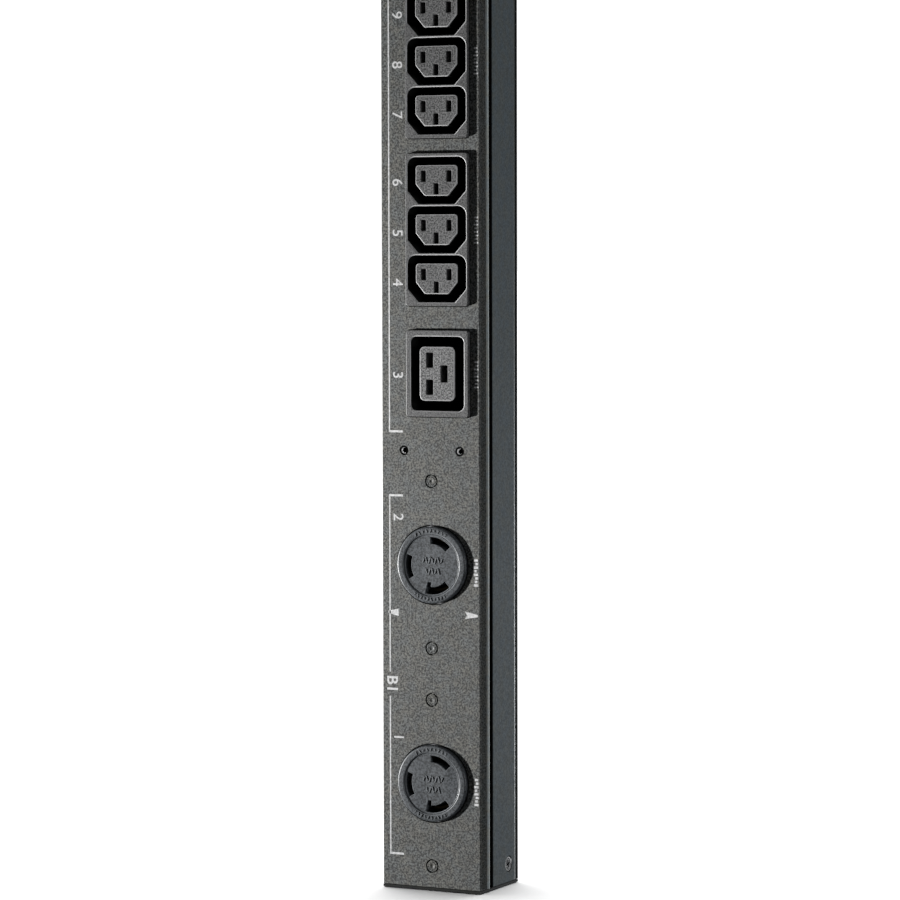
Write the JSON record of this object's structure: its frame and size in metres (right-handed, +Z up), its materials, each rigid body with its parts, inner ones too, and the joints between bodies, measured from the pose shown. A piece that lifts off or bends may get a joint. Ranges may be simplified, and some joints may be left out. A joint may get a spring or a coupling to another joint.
{
  "type": "rack power strip",
  "caption": "Upright slim steel power strip for an equipment rack, with round twist-lock and rectangular appliance outlets down its face and a cord gland on top.",
  "frame": {"origin": "on the underside of the bottom end plate, at the middle of the strip's width and depth", "axes": "+Z up along the strip, +X to the viewer's right when facing the outlets, +Y from the outlet face to the rear"},
  "size_m": [0.0586, 0.056, 0.944],
  "materials": {
    "cover_paint": "fine-texture dark grey powder coat",
    "channel_paint": "smooth satin grey powder coat",
    "socket_plastic": "moulded dark grey thermoplastic with a fine grain",
    "dark_plastic": "black moulded thermoplastic",
    "zinc_steel": "zinc-plated steel",
    "black_steel": "black-coated steel",
    "brass": "plain brass",
    "copper": "plain copper strip",
    "pale_plastic": "natural thermoplastic",
    "rubber": "black rubber",
    "black_wire": "black cable insulation",
    "white_wire": "white cable insulation",
    "green_wire": "green cable insulation"
  },
  "bodies": {
    "housing": {"back_plate": "black_steel", "breaker_1_body": "dark_plastic", "breaker_2_body": "dark_plastic", "bus_bar_earth": "copper", "bus_bar_line_1": "copper", "bus_bar_line_2": "copper", "earth_nut": "zinc_steel", "earth_stud": "zinc_steel", "end_plate_bottom": "black_steel", "end_plate_top": "black_steel", "front_cover": "cover_paint", "gland_body": "dark_plastic", "gland_cap": "dark_plastic", "gland_lock_nut": "dark_plastic", "gland_seal": "rubber", "insert_high_left": "zinc_steel", "insert_high_right": "zinc_steel", "insert_low_left": "zinc_steel", "insert_low_right": "zinc_steel", "insulating_barrier": "pale_plastic", "mounting_peg_high": "zinc_steel", "mounting_peg_low": "zinc_steel", "outlet_1_body": "socket_plastic", "outlet_1_contact_earth": "brass", "outlet_1_contact_line_1": "brass", "outlet_1_contact_line_2": "brass", "outlet_1_nut_high": "zinc_steel", "outlet_1_nut_low": "zinc_steel", "outlet_1_strap": "zinc_steel", "outlet_1_stud_high": "cover_paint", "outlet_1_stud_low": "cover_paint", "outlet_2_body": "socket_plastic", "outlet_2_contact_earth": "brass", "outlet_2_contact_line_1": "brass", "outlet_2_contact_line_2": "brass", "outlet_2_nut_high": "zinc_steel", "outlet_2_nut_low": "zinc_steel", "outlet_2_strap": "zinc_steel", "outlet_2_stud_high": "cover_paint", "outlet_2_stud_low": "cover_paint", "outlet_3_body": "socket_plastic", "outlet_3_contact_earth": "brass", "outlet_3_contact_line_1": "brass", "outlet_3_contact_line_2": "brass", "outlets_10_to_12_body": "socket_plastic", "outlets_13_to_15_body": "socket_plastic", "outlets_4_to_6_body": "socket_plastic", "outlets_7_to_9_body": "socket_plastic", "rear_channel": "channel_paint", "side_screw_bottom_left": "black_steel", "side_screw_bottom_right": "black_steel", "side_screw_top_left": "black_steel", "side_screw_top_right": "black_steel", "terminal_block": "pale_plastic", "wire_earth": "green_wire", "wire_line_1": "black_wire", "wire_line_2": "white_wire"},
    "rocker_1": {"breaker_1_rocker": "dark_plastic"},
    "rocker_2": {"breaker_2_rocker": "dark_plastic"}
  },
  "joints": [
    {"name": "breaker_1_switch", "type": "hinge", "parent": "housing", "child": "rocker_1", "pos_m": [0.001, -0.0195, 0.72], "axis": [1, 0, 0], "range_deg": [0, 24]},
    {"name": "breaker_2_switch", "type": "hinge", "parent": "housing", "child": "rocker_2", "pos_m": [0.001, -0.0195, 0.8], "axis": [1, 0, 0], "range_deg": [0, 24]}
  ]
}
